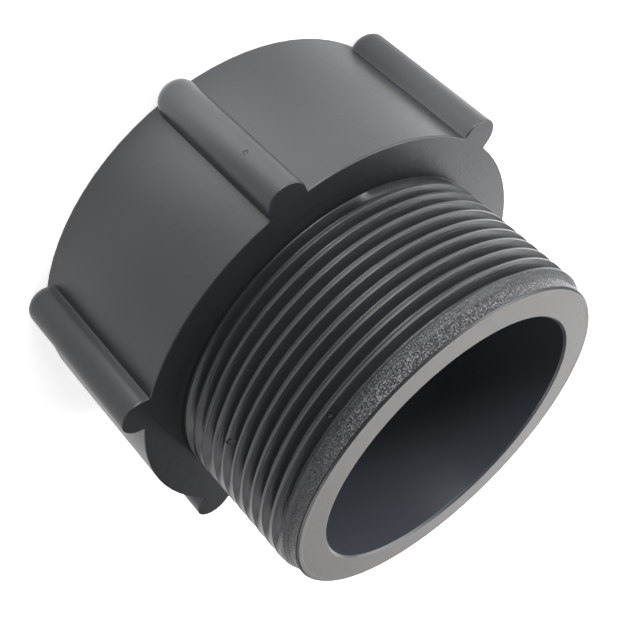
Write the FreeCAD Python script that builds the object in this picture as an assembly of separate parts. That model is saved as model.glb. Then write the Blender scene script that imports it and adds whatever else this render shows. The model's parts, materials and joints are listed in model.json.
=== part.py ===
import FreeCAD, Part
import math
import os

# Tap adapter for an intermediate bulk container. One moulded plastic body joins two threads round a
# straight bore: below, a collar with six grip lugs and a coarse female thread, which screws onto the
# container's outlet; above, a spigot with a fine male pipe thread for a 2 inch tap or fitting. A flat
# rubber washer lies against the seat inside the collar and seals on the outlet's rim.
#
# Millimetres. +Z runs along the bore, spigot up. The origin is the centre of the collar's rim, on
# which the adapter stands, and one lug points along +X. A depth is measured down from the spigot's end.

# Female coarse thread inside the collar: 60 mm nominal, buttress form
coarse_pitch = 6.0
coarse_wall_r = 30.1            # the socket's plain wall, between the turns
coarse_height = 2.3
coarse_crest_flat = 1.2
coarse_load_flank = 10.0        # degrees, the side towards the seat
coarse_back_flank = 40.0        # degrees, the side towards the rim
coarse_first_z = 2.5            # where the first turn starts to rise from the wall
coarse_fade = 2.6               # length over which the thread rises, and falls again
mouth_bevel = 1.0

# Collar
collar_length = 27.64
collar_wall = 6.25              # outside the socket's wall
collar_edge = 0.4               # bevel of the rim and of the shoulder's outline
seat_wall = 5.64                # from the washer's seat up to the shoulder
seat_width = 5.41               # from the socket's wall in to the bore

# Grip lugs along the collar
lug_count = 6
lug_width = 6.4
lug_height = 4.0                # out from the collar
lug_foot = 3.0                  # how deep a lug is rooted in the collar's wall
lug_nose = 2.4                  # length over which a lug rounds off at the rim
lug_nose_start = 25             # degrees along the nose's quarter ellipse, where its small end flat stops
lug_nose_count = 2              # the nose's curve is made of this many flats, within 0.15 mm of it

# Spigot and bore
spigot_length = 26.29
spigot_wall = 4.84              # from the bore to the root of the thread
bore_edge = 0.35                # bevel at the bore's mouth
lead_in_step = 0.9              # how far the plain band ahead of the thread lies under the crests
lead_in_length = 2.1
end_edge = 0.33                 # bevel round the end face

# Male pipe thread: 2 inch, parallel, 11 turns to the inch, 55 degrees between its flanks
inch = 25.4
pipe_turns_per_inch = 11
pipe_crest_r = 29.807
pipe_flank = 27.5               # degrees, from square to the axis
pipe_depth_share = 0.640327     # thread depth over pitch, from the standard
pipe_crest_flat = 0.5
pipe_crest_depth = 2.911        # how far below the end face the first crest crosses +X
pipe_lead_turns = 0.75          # turns of ridge past that crest, up to the band
pipe_end_cone = 1.1             # length over which the first turn rises from the band to its full height
runout_length = 2.4             # the last groove fades out on a cone of this length at the shoulder
runout_step = 0.1               # how far the cone ends above the crests

# Washer
washer_thickness = 3.0
washer_gap = 0.3                # between the washer's edge and the socket's wall
washer_hole_gap = 0.3           # the washer's hole is this much wider than the bore at the seat, all round
washer_thread_gap = 2.0         # free height between the washer and the end of the coarse thread

ridge_root = 0.3                # how deep a thread's ridge is rooted in the wall that carries it
touch = 0.001                   # lengths closer than this count as one

collar_r = coarse_wall_r + collar_wall
seat_z = collar_length - seat_wall
throat_r = coarse_wall_r - seat_width
spigot_end = collar_length + spigot_length
lead_in_z = spigot_end - lead_in_length
lead_in_r = pipe_crest_r - lead_in_step
pipe_pitch = inch / pipe_turns_per_inch
pipe_root_r = pipe_crest_r - pipe_depth_share * pipe_pitch
bore_r = pipe_root_r - spigot_wall
coarse_crest_r = coarse_wall_r - coarse_height


def point(r, z):
    return FreeCAD.Vector(r, 0, z)


def turned(outline):
    # A solid turned about Z from (radius, height) corners.
    corners = [point(r, z) for r, z in outline]
    face = Part.Face(Part.makePolygon(corners + corners[:1]))
    return face.revolve(FreeCAD.Vector(0, 0, 0), FreeCAD.Vector(0, 0, 1), 360)


def ridge(section, helix_r, start_z, pitch, turns):
    # A right-handed thread ridge: its section, drawn on +X about height 0, swept up a helix.
    path = Part.makeHelix(pitch, pitch * turns, helix_r)
    path.translate(FreeCAD.Vector(0, 0, start_z))
    corners = [point(r, start_z + z) for r, z in section]
    profile = Part.makePolygon(corners + corners[:1])
    return Part.Wire(path.Edges).makePipeShell([profile], True, True)


def make_collar():
    # The bore is a shallow cone here, from the shoulder's height down to the seat.
    return turned([
        (throat_r, seat_z),
        (coarse_wall_r, seat_z),
        (coarse_wall_r, mouth_bevel),
        (coarse_wall_r + mouth_bevel, 0),
        (collar_r - collar_edge, 0),
        (collar_r, collar_edge),
        (collar_r, collar_length),
        (bore_r, collar_length),
    ])


def lug_section(half, z):
    # A lug cut across: a round back on a straight-sided foot that reaches into the collar's wall.
    centre_r = collar_r + lug_height - lug_width / 2
    foot_r = collar_r - lug_foot
    right_foot = FreeCAD.Vector(foot_r, -half, z)
    right = FreeCAD.Vector(centre_r, -half, z)
    left = FreeCAD.Vector(centre_r, half, z)
    left_foot = FreeCAD.Vector(foot_r, half, z)
    back = Part.Arc(right, point(centre_r + half, z), left).toShape()
    return Part.Wire([
        Part.makeLine(right_foot, right),
        back,
        Part.makeLine(left, left_foot),
        Part.makeLine(left_foot, right_foot),
    ])


def make_lug():
    # A bar along the collar, cut flat at the shoulder and rounded off at the rim.
    sections = []
    for step in range(lug_nose_count + 1):
        turn = lug_nose_start + (90 - lug_nose_start) * step / lug_nose_count
        rise = 1 - math.cos(math.radians(turn)) / math.cos(math.radians(lug_nose_start))
        half = lug_width / 2 * math.sin(math.radians(turn))
        sections.append(lug_section(half, lug_nose * rise))
    sections.append(lug_section(lug_width / 2, collar_length))
    return Part.makeLoft(sections, True, True)


def add_lugs(collar):
    lug = make_lug()
    lugs = []
    for index in range(lug_count):
        copy = lug.copy()
        copy.rotate(FreeCAD.Vector(0, 0, 0), FreeCAD.Vector(0, 0, 1), index * 360 / lug_count)
        lugs.append(copy)
    return collar.fuse(lugs).removeSplitter()


def bevel_shoulder(collar):
    # The outline of the shoulder, round the collar and over the lugs' ends.
    outline = []
    for edge in collar.Edges:
        on_shoulder = edge.BoundBox.ZMin > collar_length - touch
        reach = max(math.hypot(corner.X, corner.Y) for corner in edge.Vertexes)
        if on_shoulder and reach > collar_r - lug_foot:
            outline.append(edge)
    return collar.makeChamfer(collar_edge, outline)


def make_spigot():
    # The spigot without its thread: the root's cylinder runs into a cone at the shoulder.
    return turned([
        (bore_r, collar_length),
        (pipe_crest_r + runout_step, collar_length),
        (pipe_root_r, collar_length + runout_length),
        (pipe_root_r, lead_in_z - (lead_in_r - pipe_root_r)),
        (lead_in_r, lead_in_z),
        (lead_in_r, spigot_end - end_edge),
        (lead_in_r - end_edge, spigot_end),
        (bore_r + bore_edge, spigot_end),
        (bore_r, spigot_end - bore_edge),
    ])


def make_pipe_thread():
    # One ridge up a helix, from inside the collar to the plain band, where a cone trims its first turn.
    slope = math.tan(math.radians(pipe_flank))
    half_crest = pipe_crest_flat / 2
    sunk_r = pipe_root_r - ridge_root
    half_foot = half_crest + (pipe_crest_r - sunk_r) * slope
    section = [
        (sunk_r, -half_foot),
        (pipe_crest_r, -half_crest),
        (pipe_crest_r, half_crest),
        (sunk_r, half_foot),
    ]
    whole_turns = int((spigot_length - pipe_crest_depth) / pipe_pitch) + 1
    start_z = spigot_end - pipe_crest_depth - whole_turns * pipe_pitch
    thread = ridge(section, sunk_r, start_z, pipe_pitch, whole_turns + pipe_lead_turns)
    inner_r = sunk_r - ridge_root
    outer_r = pipe_crest_r + ridge_root
    fall = pipe_end_cone / lead_in_step
    trim = turned([
        (inner_r, start_z - pipe_pitch),
        (outer_r, start_z - pipe_pitch),
        (outer_r, lead_in_z - (outer_r - lead_in_r) * fall),
        (inner_r, lead_in_z + (lead_in_r - inner_r) * fall),
    ])
    return thread.common(trim)


def make_coarse_thread():
    # The inner ridge that grips the container's outlet. Cones trim it to rise and fall at its ends.
    load = math.tan(math.radians(coarse_load_flank))
    back = math.tan(math.radians(coarse_back_flank))
    half_crest = coarse_crest_flat / 2
    sunk_r = coarse_wall_r + ridge_root
    sunk = sunk_r - coarse_crest_r
    section = [
        (coarse_crest_r, -half_crest),
        (sunk_r, -half_crest - sunk * back),
        (sunk_r, half_crest + sunk * load),
        (coarse_crest_r, half_crest),
    ]
    low_z = coarse_first_z
    high_z = seat_z - washer_thickness - washer_thread_gap
    turns = (high_z - low_z) / coarse_pitch
    thread = ridge(section, coarse_crest_r, low_z, coarse_pitch, turns)
    slope = coarse_fade / coarse_height
    inner_r = coarse_crest_r - ridge_root
    outer_r = sunk_r + ridge_root
    trim = turned([
        (outer_r, low_z - (outer_r - coarse_wall_r) * slope),
        (inner_r, low_z + (coarse_wall_r - inner_r) * slope),
        (inner_r, high_z - (coarse_wall_r - inner_r) * slope),
        (outer_r, high_z + (outer_r - coarse_wall_r) * slope),
    ])
    return thread.common(trim)


def make_adapter_body():
    collar = bevel_shoulder(add_lugs(make_collar()))
    plain = collar.fuse(make_spigot()).removeSplitter()
    return plain.fuse([make_pipe_thread(), make_coarse_thread()])


def make_sealing_washer():
    hole_r = throat_r + washer_hole_gap
    edge_r = coarse_wall_r - washer_gap
    return turned([
        (hole_r, seat_z - washer_thickness),
        (edge_r, seat_z - washer_thickness),
        (edge_r, seat_z),
        (hole_r, seat_z),
    ])


os.makedirs("parts", exist_ok=True)
for name, shape in (
    ("adapter_body", make_adapter_body()),
    ("sealing_washer", make_sealing_washer()),
):
    print(name, "solids", len(shape.Solids), "valid", shape.isValid(), "volume", round(shape.Volume, 1))
    shape.exportStep("parts/" + name + ".step")
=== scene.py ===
import json
import math

import bpy
from mathutils import Matrix, Vector

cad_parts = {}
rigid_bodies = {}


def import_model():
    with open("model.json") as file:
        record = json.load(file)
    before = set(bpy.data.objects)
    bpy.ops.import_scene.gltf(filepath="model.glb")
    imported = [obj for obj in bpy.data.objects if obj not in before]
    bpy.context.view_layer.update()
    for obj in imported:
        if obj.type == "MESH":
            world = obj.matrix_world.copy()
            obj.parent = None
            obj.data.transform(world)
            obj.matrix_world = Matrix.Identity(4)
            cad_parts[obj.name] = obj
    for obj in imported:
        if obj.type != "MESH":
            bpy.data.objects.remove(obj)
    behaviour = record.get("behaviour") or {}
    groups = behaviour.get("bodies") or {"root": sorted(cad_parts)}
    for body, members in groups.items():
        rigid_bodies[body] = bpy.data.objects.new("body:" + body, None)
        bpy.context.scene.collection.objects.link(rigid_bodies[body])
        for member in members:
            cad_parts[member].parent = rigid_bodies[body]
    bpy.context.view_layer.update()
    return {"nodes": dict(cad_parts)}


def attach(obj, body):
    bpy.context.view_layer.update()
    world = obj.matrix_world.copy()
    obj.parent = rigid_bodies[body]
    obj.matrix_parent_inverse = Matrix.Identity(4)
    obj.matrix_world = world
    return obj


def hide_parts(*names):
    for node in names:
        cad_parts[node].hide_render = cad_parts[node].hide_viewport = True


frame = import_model()
mm = 0.001
print("frame loaded:", sorted(frame["nodes"]))


# The camera stands where the photo was taken from. Its axes are given along the azimuth, across it
# and up.
camera = {
    "azimuth": 11.3,
    "distance": 158.22 * mm,    # from the bore's axis
    "height": 107.54 * mm,
    "lens": 62.66,
    "right": (-0.33488, -0.70366, 0.6268),
    "up": (0.32583, -0.71063, -0.6237),
}


def makeCamera():
    turn = math.radians(camera["azimuth"])
    axes = Matrix.Rotation(turn, 3, "Z")
    right = (axes @ Vector(camera["right"])).normalized()
    back = right.cross(axes @ Vector(camera["up"])).normalized()
    up = back.cross(right)
    data = bpy.data.cameras.new("camera")
    data.lens = camera["lens"]
    data.sensor_width = 36
    data.clip_start = 0.005
    data.clip_end = 20
    made = bpy.data.objects.new("camera", data)
    bpy.context.scene.collection.objects.link(made)
    place = axes @ Vector((camera["distance"], 0, camera["height"]))
    made.matrix_world = Matrix.Translation(place) @ Matrix((right, up, back)).transposed().to_4x4()
    bpy.context.scene.camera = made
    print("camera placed")


makeCamera()


class Value:
    # An output of a node. Sums on it add Math nodes.
    def __init__(self, kit, socket):
        self.kit = kit
        self.socket = socket

    def also(self, name):
        return Value(self.kit, self.socket.node.outputs[name])

    def math(self, operation, *terms):
        return self.kit.node("ShaderNodeMath", {"operation": operation}, dict(enumerate(terms)))

    def __add__(self, other):
        return self.math("ADD", self, other)

    def __radd__(self, other):
        return self.math("ADD", other, self)

    def __sub__(self, other):
        return self.math("SUBTRACT", self, other)

    def __rsub__(self, other):
        return self.math("SUBTRACT", other, self)

    def __mul__(self, other):
        return self.math("MULTIPLY", self, other)

    def __rmul__(self, other):
        return self.math("MULTIPLY", other, self)

    def __truediv__(self, other):
        return self.math("DIVIDE", self, other)

    def __rtruediv__(self, other):
        return self.math("DIVIDE", other, self)

    def __mod__(self, other):
        return self.math("FLOORED_MODULO", self, other)

    def __abs__(self):
        return self.math("ABSOLUTE", self)

    def floor(self):
        return self.math("FLOOR", self)

    def rounded(self):
        return self.math("ROUND", self)

    def most(self, other):
        return self.math("MAXIMUM", self, other)

    def least(self, other):
        return self.math("MINIMUM", self, other)

    def sign(self):
        return self.math("SIGN", self)

    def sine(self):
        return self.math("SINE", self)

    def cosine(self):
        return self.math("COSINE", self)

    def root(self):
        return self.math("SQRT", self)


class NodeKit:
    # Adds nodes to one tree, of geometry or of a material.
    def __init__(self, tree):
        self.tree = tree

    def node(self, kind, settings=None, inputs=None, output=0):
        made = self.tree.nodes.new(kind)
        for name, setting in (settings or {}).items():
            setattr(made, name, setting)
        for key, given in (inputs or {}).items():
            if isinstance(given, Value):
                self.tree.links.new(given.socket, made.inputs[key])
            else:
                made.inputs[key].default_value = given
        return Value(self, made.outputs[output]) if made.outputs else made

    def step(self, value, start, end):
        # 0 at start and 1 at end, smooth between, and level beyond them. The start may be above the end.
        ends = {"Value": value, "From Min": start, "From Max": end}
        return self.node("ShaderNodeMapRange", {"interpolation_type": "SMOOTHSTEP"}, ends)

    def blendColour(self, share, first, second):
        # Inputs 6 and 7 and output 2 are the Mix node's colours.
        return self.node("ShaderNodeMix", {"data_type": "RGBA"}, {0: share, 6: first, 7: second}, 2)


# The adapter's body, in millimetres and degrees
body = {
    "segments": 216,            # round the axis
    "lugs": 6,
    "collarRadius": 36.35,
    "noseRows": (0.55, 0.75, 1.0, 1.3, 1.6, 1.9, 2.2),      # heights of rows beside the lugs' noses
    "collarRows": (9, 15, 21),                              # and above them
    "shoulder": 27.64,
    "rimRound": 0.4,
    "rimRoundRows": 6,
    "rimInner": 3,              # from the rim's round in to the last evenly spaced row
    "shoulderRound": 0.18,
    "shoulderRoundRows": 5,
    "shoulderInner": 1.2,       # from the collar's outline in to a row that leaves out the lugs
    "shoulderGap": 0.3,         # between the spigot's foot and the row round it
    # Rows this near to a round keep its shading off the flats
    "rimHold": 0.2,
    "noseHold": 0.2,
    "edgeHold": 0.15,
    "shoulderHold": 0.12,
    "bandHold": 0.1,
    "threadHold": 0.03,
    "lugHalf": 3.2,
    "lugTip": 40.35,
    "lugPoints": 8,             # over half of a lug's back
    "lugFillet": 0.2,
    "filletTurns": (0, 30, 60, 90),
    "filletHold": 0.15,         # from the fillet to the collar's next point
    "noseLength": 2.6,
    "bore": 23.49,
    "throat": 24.69,
    "throatRound": 0.25,
    "boreBend": 3,              # radius where the bore turns straight
    "seat": 22.0,
    "seatRound": 0.3,
    "end": 53.93,
    "endBevel": 0.33,
    "boreBevel": 0.35,
    "bandRadius": 28.907,
    "bandStart": 51.83,
    "edge": 0.06,               # small round of the cut edges
    "pipePitch": 25.4 / 11,
    "pipeCrest": 29.807,
    "pipeRoot": 28.328,
    "pipeFlank": 27.5,
    "pipeFlat": 0.2,            # half the crest's width
    "pipeCrestRound": 0.07,
    "pipeRootRound": 0.1,
    "pipeCrestDepth": 2.911,
    "pipeRise": 1.1,
    "runout": 1.2,
    "runoutRadius": 29.2,
    "footSlope": 1.5,           # how fast the thread rises from the shoulder, out over up
    "partingAngle": 90,         # degrees from +X to the mould's parting line, where the grooves fill up
    "partingFlat": 2,           # degrees each side of it where they are full
    "partingFade": 34,          # degrees each side of it where they start to fill
    "partingDrop": 0.15,        # how far the filled grooves stay under the crests
    "coarsePitch": 6.0,
    "coarseWall": 30.1,
    "coarseCrest": 27.8,
    "coarseFlat": 0.6,          # half the crest's width
    "coarseBack": 40,           # degrees, the flank towards the rim
    "coarseLoad": 10,           # degrees, the flank towards the seat
    "coarseCrestRound": 0.25,
    "coarseRootRound": 0.3,
    "coarseLow": 2.5,
    "coarseHigh": 17.0,
    "coarseFade": 2.6,
    "mouth": 1.0,
    "mouthRounds": (0.2, 0.15),     # inner and outer
    "wallEnds": (0.5, 0.6),     # plain wall kept above the mouth and below the seat
    "sewing": 0.001,            # points nearer than this become one
}


arcStep = math.radians(22)      # the most that one step of a rounded corner turns


def roundedLine(corners, hold=0.1):
    # Corners of (x, y, radius) become a line with an arc at each, and a point just before and after it.
    line = [Vector(corners[0][:2])]
    for before, corner, after in zip(corners, corners[1:], corners[2:]):
        here = Vector(corner[:2])
        radius = corner[2]
        back = (Vector(before[:2]) - here).normalized()
        ahead = (Vector(after[:2]) - here).normalized()
        half = back.angle(ahead) / 2
        reach = radius / math.tan(half)
        centre = here + (back + ahead).normalized() * (radius / math.sin(half))
        start = here + back * reach - centre
        end = here + ahead * reach - centre
        turn = math.pi - 2 * half
        steps = max(2, math.ceil(turn / arcStep))
        line.append(here + back * (reach + hold))
        for step in range(steps + 1):
            done = step / steps * turn
            left = (1 - step / steps) * turn
            spoke = (start * math.sin(left) + end * math.sin(done)) / math.sin(turn)
            line.append(centre + spoke)
        line.append(here + ahead * (reach + hold))
    line.append(Vector(corners[-1][:2]))
    return line


def lugOutline():
    # Half of one sector's outline, from the lug's top down its side and along to the next sector.
    radius = body["collarRadius"]
    half = body["lugHalf"]
    fillet = body["lugFillet"]
    centre = body["lugTip"] - half
    footX = math.sqrt(radius ** 2 - (half + fillet) ** 2)
    points = []
    for step in range(body["lugPoints"]):
        turn = math.radians(90 * step / (body["lugPoints"] - 1))
        x = centre + half * math.cos(turn)
        points.append((x, half * math.sin(turn), math.cos(turn), math.sin(turn)))
    for turn in body["filletTurns"]:
        side = math.radians(turn)
        x = footX + fillet - fillet * math.sin(side)
        y = half + fillet - fillet * math.cos(side)
        points.append((x, y, math.sin(side), math.cos(side)))
    halfSector = math.pi / body["lugs"]
    holdAngle = math.atan2(half + fillet + body["filletHold"], footX)
    count = body["segments"] // body["lugs"] // 2
    arcSteps = count - len(points)
    for step in range(arcSteps + 1):
        angle = holdAngle + (halfSector - holdAngle) * step / arcSteps
        out = (math.cos(angle), math.sin(angle))
        points.append((radius * out[0], radius * out[1], *out))
    rows = []
    for index, (x, y, nx, ny) in enumerate(points):
        angle = math.atan2(y, x)
        rows.append({
            "angle": angle,
            "rise": (math.hypot(x, y) - radius) * mm,
            "sideways": ny * math.cos(angle) - nx * math.sin(angle),
            "outwards": nx * math.cos(angle) + ny * math.sin(angle),
            "onLug": 1.0 if index < len(points) - arcSteps - 1 else 0.0,
        })
    return rows


def collarRows():
    # From the socket's mouth over the rim, up the collar and over the shoulder to the spigot's foot.
    # A row that follows has its points at the lugs' outline, and the others have them evenly spaced.
    radius = body["collarRadius"]
    wall = body["coarseWall"]
    mouth = body["mouth"]
    rim = body["rimRound"]
    top = body["shoulder"]
    edge = body["shoulderRound"]
    rows = []

    def add(r, z, inset=0.0, follow=1.0, lift=1.0):
        share = min(z / body["noseLength"], 1)
        rows.append({
            "radius": r * mm,
            "height": z * mm,
            "nose": math.sqrt(1 - (1 - share) ** 2),
            "inset": inset * mm,
            "follow": follow,
            "lift": lift,
        })

    inner, outer = body["mouthRounds"]
    mouthLine = [
        (wall, mouth + body["wallEnds"][0], 0),
        (wall, mouth, inner),
        (wall + mouth, 0, outer),
        (radius - rim - body["rimInner"], 0, 0),
    ]
    for r, z in roundedLine(mouthLine):
        add(r, z, follow=0.0)
    add(radius - rim - body["rimHold"], 0)
    for step in range(body["rimRoundRows"]):
        turn = math.radians(90 * step / (body["rimRoundRows"] - 1))
        add(radius - rim + rim * math.sin(turn), rim - rim * math.cos(turn))
    noseEnd = (body["noseLength"], body["noseLength"] + body["noseHold"])
    for z in (*body["noseRows"], *noseEnd, *body["collarRows"]):
        add(radius, z)
    add(radius, top - edge - body["edgeHold"])
    for step in range(body["shoulderRoundRows"]):
        turn = math.radians(90 * step / (body["shoulderRoundRows"] - 1))
        add(radius, top - edge + edge * math.sin(turn), inset=edge - edge * math.cos(turn))
    add(radius, top, inset=edge + body["shoulderHold"])
    add(radius - body["shoulderInner"], top, inset=body["shoulderInner"] / 2, lift=0.0)
    add(body["runoutRadius"] + body["shoulderGap"], top, follow=0.0)
    add(body["runoutRadius"], top, follow=0.0)
    return rows


def insideRows():
    # From the socket's wall over the seat, up the bore and over the spigot's end to the thread's start.
    end = body["end"]
    bore = body["bore"]
    edge = body["edge"]
    line = roundedLine([
        (body["coarseWall"], body["seat"] - body["wallEnds"][1], 0),
        (body["coarseWall"], body["seat"], body["seatRound"]),
        (body["throat"], body["seat"], body["throatRound"]),
        (bore, body["shoulder"], body["boreBend"]),
        (bore, end - body["boreBevel"], edge),
        (bore + body["boreBevel"], end, edge),
        (body["bandRadius"] - body["endBevel"], end, edge),
        (body["bandRadius"], end - body["endBevel"], edge),
        (body["bandRadius"], body["bandStart"], 0),
    ])
    line.insert(-1, Vector((body["bandRadius"], body["bandStart"] + body["bandHold"])))
    return [{"radius": r * mm, "height": z * mm} for r, z in line]


def threadRows(corners):
    # A thread's section over one pitch: along the axis and out from it.
    line = roundedLine(corners, hold=body["threadHold"])
    return [{"along": along * mm, "reach": reach * mm} for along, reach in line]


def pipeRows():
    slope = math.tan(math.radians(body["pipeFlank"]))
    flat = body["pipeFlat"]
    foot = flat + (body["pipeCrest"] - body["pipeRoot"]) * slope
    half = body["pipePitch"] / 2
    crest = body["pipeCrest"]
    root = body["pipeRoot"]
    crestRound = body["pipeCrestRound"]
    rootRound = body["pipeRootRound"]
    return threadRows([
        (-half, root, 0),
        (-foot, root, rootRound),
        (-flat, crest, crestRound),
        (flat, crest, crestRound),
        (foot, root, rootRound),
        (half, root, 0),
    ])


def coarseRows():
    crest = body["coarseCrest"]
    wall = body["coarseWall"]
    flat = body["coarseFlat"]
    low = flat + (wall - crest) * math.tan(math.radians(body["coarseBack"]))
    high = flat + (wall - crest) * math.tan(math.radians(body["coarseLoad"]))
    half = body["coarsePitch"] / 2
    crestRound = body["coarseCrestRound"]
    rootRound = body["coarseRootRound"]
    return threadRows([
        (-half, wall, 0),
        (-low, wall, rootRound),
        (-flat, crest, crestRound),
        (flat, crest, crestRound),
        (high, wall, rootRound),
        (half, wall, 0),
    ])


def tableMesh(tables):
    # One point for each row of the tables, with the row's numbers as its attributes.
    rows = [row for table in tables.values() for row in table]
    mesh = bpy.data.meshes.new("adapterBody")
    mesh.from_pydata([(0, 0, 0)] * len(rows), [], [])
    for name in sorted({name for row in rows for name in row}):
        attribute = mesh.attributes.new(name, "FLOAT", "POINT")
        attribute.data.foreach_set("value", [row.get(name, 0.0) for row in rows])
    return mesh


class Sweep:
    # A grid of columns round the axis and rows along a table, which is then bent into its place.
    def __init__(self, kit, source, start, count, columns):
        self.kit = kit
        self.source = source
        self.start = start
        sizes = {"Size X": columns, "Size Y": count - 1, "Vertices X": columns + 1, "Vertices Y": count}
        self.grid = kit.node("GeometryNodeMeshGrid", {}, sizes)
        spot = kit.node("ShaderNodeSeparateXYZ", {}, {0: kit.node("GeometryNodeInputPosition")})
        self.column = (spot + columns / 2).rounded()
        self.row = (spot.also("Y") + (count - 1) / 2).rounded()

    def pick(self, name, index=None):
        field = self.kit.node("GeometryNodeInputNamedAttribute", {"data_type": "FLOAT"}, {"Name": name})
        place = self.row + self.start if index is None else index
        settings = {"data_type": "FLOAT", "domain": "POINT"}
        return self.kit.node("GeometryNodeSampleIndex", settings,
                             {"Geometry": self.source, "Value": field, "Index": place})

    def bend(self, radius, angle, height, inwards=False):
        spot = {0: radius * angle.cosine(), 1: radius * angle.sine(), 2: height}
        place = self.kit.node("ShaderNodeCombineXYZ", {}, spot)
        made = self.kit.node("GeometryNodeSetPosition", {}, {"Geometry": self.grid, "Position": place})
        return self.kit.node("GeometryNodeFlipFaces", {}, {"Mesh": made}) if inwards else made


def threadFit(pitch, crestZ, low, high):
    # Where a strip starts so that it is wholly below low there, and how many turns take it wholly
    # above high.
    first = crestZ - pitch * math.ceil((crestZ - low) / pitch + 0.5)
    turns = math.ceil((high - first) / pitch + 0.5)
    return first, turns


def makeBodyTree(tables, material):
    starts = {}
    total = 0
    for name, table in tables.items():
        starts[name] = total
        total += len(table)
    segments = body["segments"]
    early = 1 / (2 * body["lugs"])      # the part of a turn by which the columns start before +X
    pipeLow = body["shoulder"]
    pipeCrestHeight = body["end"] - body["pipeCrestDepth"] - body["pipePitch"] * early
    pipeFirst, pipeTurns = threadFit(body["pipePitch"], pipeCrestHeight, pipeLow, body["bandStart"])
    wallLow = body["mouth"] + body["wallEnds"][0]
    wallHigh = body["seat"] - body["wallEnds"][1]
    coarseCrestHeight = body["coarseLow"] - body["coarsePitch"] * early
    coarseFirst, coarseTurns = threadFit(body["coarsePitch"], coarseCrestHeight, wallLow, wallHigh)
    lugFoot = tables["lug"][body["lugPoints"] + len(body["filletTurns"]) - 1]
    sizes = {
        "Segments": segments,
        "Lug Count": body["lugs"],
        "Foot Angle": lugFoot["angle"],
        "Pipe Turns": pipeTurns,
        "Pipe Pitch": body["pipePitch"] * mm,
        "Pipe Start": pipeFirst * mm,
        "Pipe Low": pipeLow * mm,
        "Pipe High": body["bandStart"] * mm,
        "Pipe Crest": body["pipeCrest"] * mm,
        "Pipe Root": body["pipeRoot"] * mm,
        "Pipe Rise": body["pipeRise"] * mm,
        "Band Radius": body["bandRadius"] * mm,
        "Parting Angle": math.radians(body["partingAngle"]),
        "Parting Flat": math.radians(body["partingFlat"]),
        "Parting Fade": math.radians(body["partingFade"]),
        "Parting Radius": (body["pipeCrest"] - body["partingDrop"]) * mm,
        "Runout Length": body["runout"] * mm,
        "Runout Radius": body["runoutRadius"] * mm,
        "Foot Slope": body["footSlope"],
        "Coarse Turns": coarseTurns,
        "Coarse Pitch": body["coarsePitch"] * mm,
        "Coarse Start": coarseFirst * mm,
        "Coarse Bottom": wallLow * mm,
        "Coarse Top": wallHigh * mm,
        "Coarse Wall": body["coarseWall"] * mm,
        "Coarse Low": body["coarseLow"] * mm,
        "Coarse High": body["coarseHigh"] * mm,
        "Coarse Slope": (body["coarseWall"] - body["coarseCrest"]) / body["coarseFade"],
    }
    tree = bpy.data.node_groups.new("adapterBody", "GeometryNodeTree")
    tree.interface.new_socket("Geometry", in_out="INPUT", socket_type="NodeSocketGeometry")
    identifiers = {}
    for name, size in sizes.items():
        kind = "NodeSocketInt" if isinstance(size, int) else "NodeSocketFloat"
        identifiers[name] = tree.interface.new_socket(name, in_out="INPUT", socket_type=kind).identifier
    tree.interface.new_socket("Geometry", in_out="OUTPUT", socket_type="NodeSocketGeometry")
    kit = NodeKit(tree)
    source = kit.node("NodeGroupInput", output="Geometry")
    size = {name: source.also(name) for name in sizes}
    segments = size["Segments"]
    stepAngle = 2 * math.pi / segments
    halfSector = math.pi / size["Lug Count"]
    parts = []

    # The collar with its lugs
    sweep = Sweep(kit, source, starts["collar"], len(tables["collar"]), segments)
    perSector = segments / size["Lug Count"]
    inSector = sweep.column % perSector - perSector / 2
    sector = (sweep.column / perSector).floor()
    fromTop = abs(inSector) + starts["lug"]
    angle, rise, sideways, outwards, onLug = [
        sweep.pick(name, fromTop) for name in ("angle", "rise", "sideways", "outwards", "onLug")]
    nose = sweep.pick("nose")
    inset = sweep.pick("inset")
    follow = sweep.pick("follow")
    footAngle = size["Foot Angle"]
    left = (halfSector - angle) * (halfSector - nose * footAngle)
    onCollar = halfSector - left / (halfSector - footAngle)
    radius = sweep.pick("radius") + follow * sweep.pick("lift") * (nose * rise - inset * outwards)
    turned = angle * nose * onLug + onCollar * (1 - onLug) - inset * sideways / radius
    turned = inSector.sign() * turned * follow + inSector * stepAngle * (1 - follow)
    parts.append(sweep.bend(radius, turned + sector * 2 * halfSector, sweep.pick("height")))

    # The seat, the bore and the spigot's end
    sweep = Sweep(kit, source, starts["inside"], len(tables["inside"]), segments)
    angle = sweep.column * stepAngle - halfSector
    parts.append(sweep.bend(sweep.pick("radius"), angle, sweep.pick("height"), inwards=True))

    # The fine thread, a strip wound up the spigot and cut level at both ends
    sweep = Sweep(kit, source, starts["pipe"], len(tables["pipe"]), segments * size["Pipe Turns"])
    climb = size["Pipe Start"] + size["Pipe Pitch"] * (sweep.column / segments)
    height = (climb + sweep.pick("along")).most(size["Pipe Low"]).least(size["Pipe High"])
    toBand = size["Pipe High"] - height
    drop = (size["Runout Radius"] - size["Pipe Root"]) / size["Runout Length"]
    runout = size["Runout Radius"] - (height - size["Pipe Low"]) * drop
    core = runout.most(size["Pipe Root"]).most(size["Band Radius"] - toBand)
    rise = (size["Pipe Crest"] - size["Band Radius"]) / size["Pipe Rise"]
    foot = size["Runout Radius"] + (height - size["Pipe Low"]) * size["Foot Slope"]
    angle = sweep.column * stepAngle - halfSector
    away = abs((angle - size["Parting Angle"] + math.pi / 2) % math.pi - math.pi / 2)
    fill = kit.step(away, size["Parting Fade"], size["Parting Flat"])
    reach = sweep.pick("reach")
    reach = reach + fill * (size["Parting Radius"] - reach).most(0)
    radius = core.most(reach.least(size["Band Radius"] + toBand * rise).least(foot))
    parts.append(sweep.bend(radius, angle, height))

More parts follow.
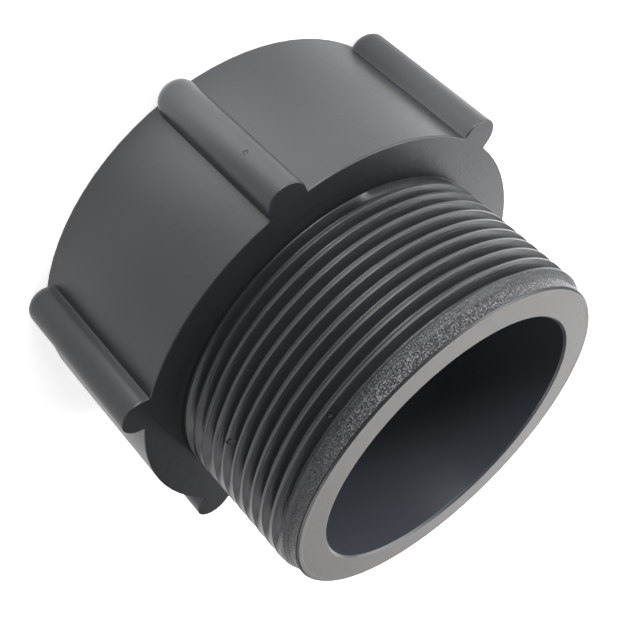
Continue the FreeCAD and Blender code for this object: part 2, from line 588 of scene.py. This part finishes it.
    # The coarse thread inside the collar
    sweep = Sweep(kit, source, starts["coarse"], len(tables["coarse"]), segments * size["Coarse Turns"])
    climb = size["Coarse Start"] + size["Coarse Pitch"] * (sweep.column / segments)
    height = (climb + sweep.pick("along")).most(size["Coarse Bottom"]).least(size["Coarse Top"])
    wall = size["Coarse Wall"]
    fadeLow = wall - (height - size["Coarse Low"]) * size["Coarse Slope"]
    fadeHigh = wall - (size["Coarse High"] - height) * size["Coarse Slope"]
    radius = sweep.pick("reach").most(fadeLow).most(fadeHigh).least(wall)
    parts.append(sweep.bend(radius, sweep.column * stepAngle - halfSector, height, inwards=True))

    join = tree.nodes.new("GeometryNodeJoinGeometry")
    for part in parts:
        tree.links.new(part.socket, join.inputs[0])
    joined = Value(kit, join.outputs[0])
    within = {"Geometry": joined, "Distance": body["sewing"] * mm}
    sewn = kit.node("GeometryNodeMergeByDistance", {}, within)
    smooth = kit.node("GeometryNodeSetShadeSmooth", {}, {"Geometry": sewn})
    real = kit.node("GeometryNodeRealizeInstances", {}, {"Geometry": smooth})
    dressed = kit.node("GeometryNodeSetMaterial", {}, {"Geometry": real, "Material": material})
    kit.node("NodeGroupOutput", {}, {"Geometry": dressed})
    return tree, {identifiers[name]: size for name, size in sizes.items()}


plastic = {
    "dark": (0.014, 0.016, 0.019, 1),
    "pale": (0.019, 0.021, 0.024, 1),
    # Lighter colour of real wear on the thread's crests; the same name later also carries the band's
    # painted glints
    "wornAndGlinting": (0.026, 0.028, 0.031, 1),       # the thread's crests
    # Painted glints: light specks on the tops of the band's grain, strongest on the lit -Y side
    "glintColour": (0.17, 0.17, 0.17, 1),       # the tops of the band's grain
    # The bore is painted lighter than the outside, as painted fill light inside it
    "inside": (0.036, 0.041, 0.049, 1),     # the bore
    "faced": (0.132, 0.130, 0.124, 1),      # the spigot's cut end
    "wear": 0.6,                # how far the crests turn worn, and the nicks dark
    # Where each region begins and is full: millimetres below the spigot's end, or from the axis
    "facedDepth": (0.03, 0.01),
    "facedEdge": 0.3,           # from the bore's mouth out to where the cut face is full
    "spigotReach": (28, 28.1),
    "spigotDepth": (26.3, 26.2),
    "bandDepth": (0.25, 0.4),
    "bandFoot": (2.4, 2.1),
    "bandFade": (5, 2.5),       # a weaker grain runs on into the thread
    "bandFadeShare": 0.25,
    "boreLightReach": (26.5, 26),
    "crestDepth": (0.12, 0.02),     # below the crests' own distance
    # Noise: scale, detail and roughness
    "broad": (90, 3, 0.5),
    "mottle": (700, 4, 0.6),
    "fine": (2600, 2, 0.5),
    "grain": (3800, 1, 0.6),
    "streaks": (1, 2, 0.6),
    "streakStretch": (4, 4, 3),     # round the axis, down the spigot and out from the axis
    # The painted glints on the band's grain: the grain heights that carry them, and their sine from +X,
    # full on the lit -Y side and weaker towards +Y
    "grainGlints": (0.46, 0.64),     # the grain's heights where they begin and are full
    "glintLitSide": (0.8, 0.2),    # their sine from +X where they begin and are full
    "glintLeast": 0.2,          # and what is left of them elsewhere
    # What each noise or region adds, and what the nicks take from the bump
    "roughness": {
        "base": 0.26,
        "broad": 0.08,
        "mottle": 0.08,
        "band": 0.04,
        "faced": 0.2,
        "nicks": 0.15,
    },
    "bump": {
        "fine": 0.2,
        "mottle": 0.5,
        "band": 14,
        "faced": 0.4,
        "streaks": 0.9,
        "nicks": 6,
    },
    "bumpDepth": 0.05,          # millimetres for a height of 1
    "nickWobble": 0.5,          # millimetres by which a nick's outline wanders
    "nickCore": 0.6,            # the part of a nick's size that is at full depth
    # Each nick: degrees from +X, height, distance from the axis and size, in millimetres
    "nicks": [
        (11.5, 50.4, 29.4, 0.6),
        (-37.7, 44.8, 29.0, 0.3),
        (35.3, 48.0, 29.3, 0.55),
        (28.0, 49.4, 29.3, 0.45),
        (58.3, 37.7, 29.2, 0.8),
        (57.3, 51.0, 29.6, 0.35),
        (49.0, 33.0, 29.4, 0.3),
        (-0.3, 19.5, 40.3, 0.38),
    ],
}


def noise(kit, place, kind, output=0):
    # The kind is a scale, a detail and a roughness.
    scale, detail, roughness = kind
    inputs = {"Vector": place, "Scale": scale, "Detail": detail, "Roughness": roughness}
    return kit.node("ShaderNodeTexNoise", {}, inputs, output)


def nickMask(kit, place):
    # 1 in the small dents of handling, with ragged outlines.
    wander = noise(kit, place, plastic["fine"], "Color")
    wobble = plastic["nickWobble"]
    moved = kit.node("ShaderNodeVectorMath", {"operation": "MULTIPLY_ADD"}, {
        0: wander,
        1: (wobble * mm, wobble * mm, wobble * mm),
        2: place,
    })
    mask = None
    for turn, height, reach, size in plastic["nicks"]:
        side = math.radians(turn)
        middle = (reach * math.cos(side), reach * math.sin(side), height)
        spot = [v * mm + wobble * mm / 2 for v in middle]
        away = kit.node("ShaderNodeVectorMath", {"operation": "DISTANCE"}, {0: moved, 1: spot}, "Value")
        dent = kit.step(away, size * mm, size * mm * plastic["nickCore"])
        mask = dent if mask is None else mask.most(dent)
    return mask


def plasticMaterial():
    material = bpy.data.materials.new("mouldedPlastic")
    material.use_nodes = True
    tree = material.node_tree
    tree.nodes.clear()
    kit = NodeKit(tree)
    place = kit.node("ShaderNodeTexCoord", output="Object")
    spot = kit.node("ShaderNodeSeparateXYZ", {}, {0: place})
    x = spot
    y = spot.also("Y")
    reach = (x * x + y * y).root()
    radius = reach / mm
    depth = body["end"] - spot.also("Z") / mm
    bore = body["bore"]
    faced = kit.step(depth, *plastic["facedDepth"]) * kit.step(radius, bore, bore + plastic["facedEdge"])
    onSpigot = kit.step(radius, *plastic["spigotReach"]) * kit.step(depth, *plastic["spigotDepth"])
    weak = plastic["bandFadeShare"]
    foot = kit.step(depth, *plastic["bandFoot"]) * (1 - weak)
    fade = kit.step(depth, *plastic["bandFade"]) * weak
    onBand = onSpigot * kit.step(depth, *plastic["bandDepth"]) * (foot + fade)
    # Painted fill light: the bore's inside takes a lighter colour, except on the cut end
    inside = kit.step(radius, *plastic["boreLightReach"]) * (1 - faced)
    begin, full = plastic["crestDepth"]
    onCrest = onSpigot * kit.step(radius, body["pipeCrest"] - begin, body["pipeCrest"] - full)
    nicks = nickMask(kit, place)
    broad = noise(kit, place, plastic["broad"])
    mottle = noise(kit, place, plastic["mottle"])
    fine = noise(kit, place, plastic["fine"])
    grain = noise(kit, place, plastic["grain"])
    turned = y / reach      # the sine of the angle from +X
    least = plastic["glintLeast"]
    litSideShare = least + kit.step(turned, *plastic["glintLitSide"]) * (1 - least)
    # Painted glints on the band's grain tops, full on the lit -Y side and weaker on the dim +Y side
    grainGlints = kit.step(grain, *plastic["grainGlints"]) * onBand * litSideShare
    around, down, out = plastic["streakStretch"]
    along = {0: x / reach * around, 1: y / reach * around, 2: depth * down + radius * out}
    streaks = noise(kit, kit.node("ShaderNodeCombineXYZ", {}, along), plastic["streaks"])
    dark = kit.blendColour(broad, plastic["dark"], plastic["pale"])
    rubbed = kit.blendColour(onCrest * plastic["wear"], dark, plastic["wornAndGlinting"])
    # The crests' real wear, then the painted glints on the band's grain
    wornAndGlinting = kit.blendColour(grainGlints, rubbed, plastic["glintColour"])
    # Painted fill light in the bore
    boreLightened = kit.blendColour(inside, wornAndGlinting, plastic["inside"])
    cut = kit.blendColour(faced, boreLightened, plastic["faced"])
    colour = kit.blendColour(nicks * (1 - faced) * plastic["wear"], cut, plastic["dark"])
    share = plastic["roughness"]
    roughness = share["base"] + broad * share["broad"] + mottle * share["mottle"]
    roughness = roughness + onBand * share["band"] + faced * share["faced"] + nicks * share["nicks"]
    share = plastic["bump"]
    height = fine * share["fine"] + mottle * share["mottle"]
    height = height + grain * onBand * share["band"] + grain * faced * share["faced"]
    height = height + streaks * onSpigot * (1 - onBand) * share["streaks"] - nicks * share["nicks"]
    bump = kit.node("ShaderNodeBump", {}, {
        "Strength": 1.0,
        "Distance": plastic["bumpDepth"] * mm,
        "Height": height,
    })
    shader = kit.node("ShaderNodeBsdfPrincipled", {}, {
        "Base Color": colour,
        "Roughness": roughness,
        "Normal": bump,
    })
    kit.node("ShaderNodeOutputMaterial", {}, {"Surface": shader})
    return material


rubber = {
    "dark": (0.014, 0.014, 0.014, 1),
    "pale": (0.028, 0.027, 0.026, 1),
    "fine": (3000, 4, 0.5),     # noise: scale, detail and roughness
    "broad": (150, 2, 0.5),
    "roughness": (0.62, 0.15),  # the least, and what the broad noise adds
    "bumpStrength": 0.6,
    "bumpDepth": 0.03,
}


def rubberMaterial():
    material = bpy.data.materials.new("washerRubber")
    material.use_nodes = True
    tree = material.node_tree
    tree.nodes.clear()
    kit = NodeKit(tree)
    place = kit.node("ShaderNodeTexCoord", output="Object")
    fine = noise(kit, place, rubber["fine"])
    broad = noise(kit, place, rubber["broad"])
    colour = kit.blendColour(broad, rubber["dark"], rubber["pale"])
    bump = kit.node("ShaderNodeBump", {}, {
        "Strength": rubber["bumpStrength"],
        "Distance": rubber["bumpDepth"] * mm,
        "Height": fine,
    })
    least, more = rubber["roughness"]
    shader = kit.node("ShaderNodeBsdfPrincipled", {}, {
        "Base Color": colour,
        "Roughness": least + broad * more,
        "Normal": bump,
    })
    kit.node("ShaderNodeOutputMaterial", {}, {"Surface": shader})
    return material


def makeBody():
    tables = {
        "collar": collarRows(),
        "inside": insideRows(),
        "pipe": pipeRows(),
        "coarse": coarseRows(),
        "lug": lugOutline(),
    }
    source = bpy.data.objects.new("adapterSource", tableMesh(tables))
    bpy.context.scene.collection.objects.link(source)
    tree, given = makeBodyTree(tables, plasticMaterial())
    modifier = source.modifiers.new("adapterBody", "NODES")
    modifier.node_group = tree
    for identifier, size in given.items():
        modifier[identifier] = size
    graph = bpy.context.evaluated_depsgraph_get()
    mesh = bpy.data.meshes.new_from_object(source.evaluated_get(graph), depsgraph=graph)
    bpy.data.objects.remove(source)
    made = bpy.data.objects.new("adapterBody", mesh)
    bpy.context.scene.collection.objects.link(made)
    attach(made, "root")
    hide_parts("adapter_body")
    print("adapter body:", len(mesh.vertices), "points,", len(mesh.polygons), "faces")


makeBody()

washer = frame["nodes"]["sealing_washer"]
washer.data.materials.clear()
washer.data.materials.append(rubberMaterial())
print("washer dressed")


stage = {
    "floorSize": 3.0,
    "floorDrop": 0.02 * mm,     # below the part's rim
    "floorColour": (0.93, 0.93, 0.925, 1),
    "floorSeen": 0.60,          # white added for the camera near the part, over the lamps' light
    "whiteReach": (0.12, 0.35),         # from the axis, where it rises to all white
    # The floor's brightness in the part's reflections
    "glossDim": 0.16,           # on the +Y side
    "glossLit": 1.15,           # on the -Y side
    "glossNear": 0.6,           # next to the part
    "litSide": (30 * mm, -20 * mm),     # along Y, from dim to lit
    "nearReach": (66 * mm, 44 * mm),    # from the axis, from far to near
    # Brighter and darker patches of it: x, y, size and strength
    "patches": [
        (78 * mm, -26 * mm, 45 * mm, 0.9),
        (54 * mm, -2 * mm, 28 * mm, 1.9),
        (14 * mm, -48 * mm, 32 * mm, -0.5),
    ],
    "worldLight": 0.09,         # the world's brightness as a light
    "worldGloss": 0.05,         # its share of the way to white in reflections
    "lampDistance": 0.9,
    "lampAim": 0.03,            # height of the point that the lamps face
}


def makeFloor():
    half = stage["floorSize"] / 2
    mesh = bpy.data.meshes.new("floor")
    corners = [(-half, -half), (half, -half), (half, half), (-half, half)]
    mesh.from_pydata([(x, y, -stage["floorDrop"]) for x, y in corners], [], [(0, 1, 2, 3)])
    floor = bpy.data.objects.new("floor", mesh)
    bpy.context.scene.collection.objects.link(floor)
    material = bpy.data.materials.new("paleFloor")
    material.use_nodes = True
    material.node_tree.nodes.clear()
    kit = NodeKit(material.node_tree)
    plain = kit.node("ShaderNodeBsdfDiffuse", {}, {"Color": stage["floorColour"]})
    path = kit.node("ShaderNodeLightPath", output="Is Camera Ray")
    place = kit.node("ShaderNodeNewGeometry", output="Position")
    spot = kit.node("ShaderNodeSeparateXYZ", {}, {0: place})
    x = spot
    y = spot.also("Y")
    lit = kit.step(y, *stage["litSide"])
    far = stage["glossDim"] + lit * (stage["glossLit"] - stage["glossDim"])
    reach = (x * x + y * y).root()
    near = kit.step(reach, *stage["nearReach"])
    mirrored = far + near * (stage["glossNear"] - far)
    for centreX, centreY, size, strength in stage["patches"]:
        away = ((x - centreX) * (x - centreX) + (y - centreY) * (y - centreY)).root()
        mirrored = mirrored + kit.step(away, size, 0.0) * strength
    seen = stage["floorSeen"] + (1 - stage["floorSeen"]) * kit.step(reach, *stage["whiteReach"])
    strength = (path * seen).most(path.also("Is Glossy Ray") * mirrored)
    glow = kit.node("ShaderNodeEmission", {}, {"Color": (1, 1, 1, 1), "Strength": strength})
    both = kit.node("ShaderNodeAddShader", {}, {0: plain, 1: glow})
    back = kit.node("ShaderNodeNewGeometry", output="Backfacing")
    clear = kit.node("ShaderNodeBsdfTransparent")
    shown = kit.node("ShaderNodeMixShader", {}, {0: back, 1: both, 2: clear})
    kit.node("ShaderNodeOutputMaterial", {}, {"Surface": shown})
    mesh.materials.append(material)


def makeWorld():
    world = bpy.data.worlds.new("studio")
    bpy.context.scene.world = world
    world.use_nodes = True
    world.node_tree.nodes.clear()
    kit = NodeKit(world.node_tree)
    path = kit.node("ShaderNodeLightPath", output="Is Camera Ray")
    glossy = path.also("Is Glossy Ray") * stage["worldGloss"]
    seen = path.most(glossy).most(path.also("Is Transmission Ray"))
    strength = stage["worldLight"] + seen * (1 - stage["worldLight"])
    back = kit.node("ShaderNodeBackground", {}, {"Color": (1, 1, 1, 1), "Strength": strength})
    kit.node("ShaderNodeOutputWorld", {}, {"Surface": back})


def makeLamp(name, azimuth, elevation, width, height, power):
    data = bpy.data.lights.new(name, "AREA")
    data.shape = "RECTANGLE"
    data.size = width
    data.size_y = height
    data.energy = power
    lamp = bpy.data.objects.new(name, data)
    bpy.context.scene.collection.objects.link(lamp)
    turn = math.radians(azimuth)
    tilt = math.radians(elevation)
    ray = Vector((math.cos(turn) * math.cos(tilt), math.sin(turn) * math.cos(tilt), math.sin(tilt)))
    lamp.rotation_mode = "QUATERNION"
    lamp.location = ray * stage["lampDistance"] + Vector((0, 0, stage["lampAim"]))
    lamp.rotation_quaternion = ray.to_track_quat("Z", "Y")


makeFloor()
makeWorld()
# Each lamp: azimuth and elevation in degrees, width and height in metres, power in watts
lamps = {
    "keyLamp": (-19, 9, 0.4, 0.4, 10.5),
    "sideLamp": (-80, 42, 0.5, 0.5, 5.0),
    "frontLamp": (-45, 40, 0.5, 0.5, 1.4),
    "cornerLamp": (-128, 44, 0.5, 0.5, 5.0),
    "backLamp": (-163, 9, 0.45, 0.5, 2.4),
    "fillLamp": (108, 40, 0.5, 0.5, 2.4),
    "lowFill": (135, 24, 0.5, 0.6, 0.7),
}
for name, numbers in lamps.items():
    makeLamp(name, *numbers)
bpy.context.scene.view_settings.view_transform = "Standard"
print("studio made")
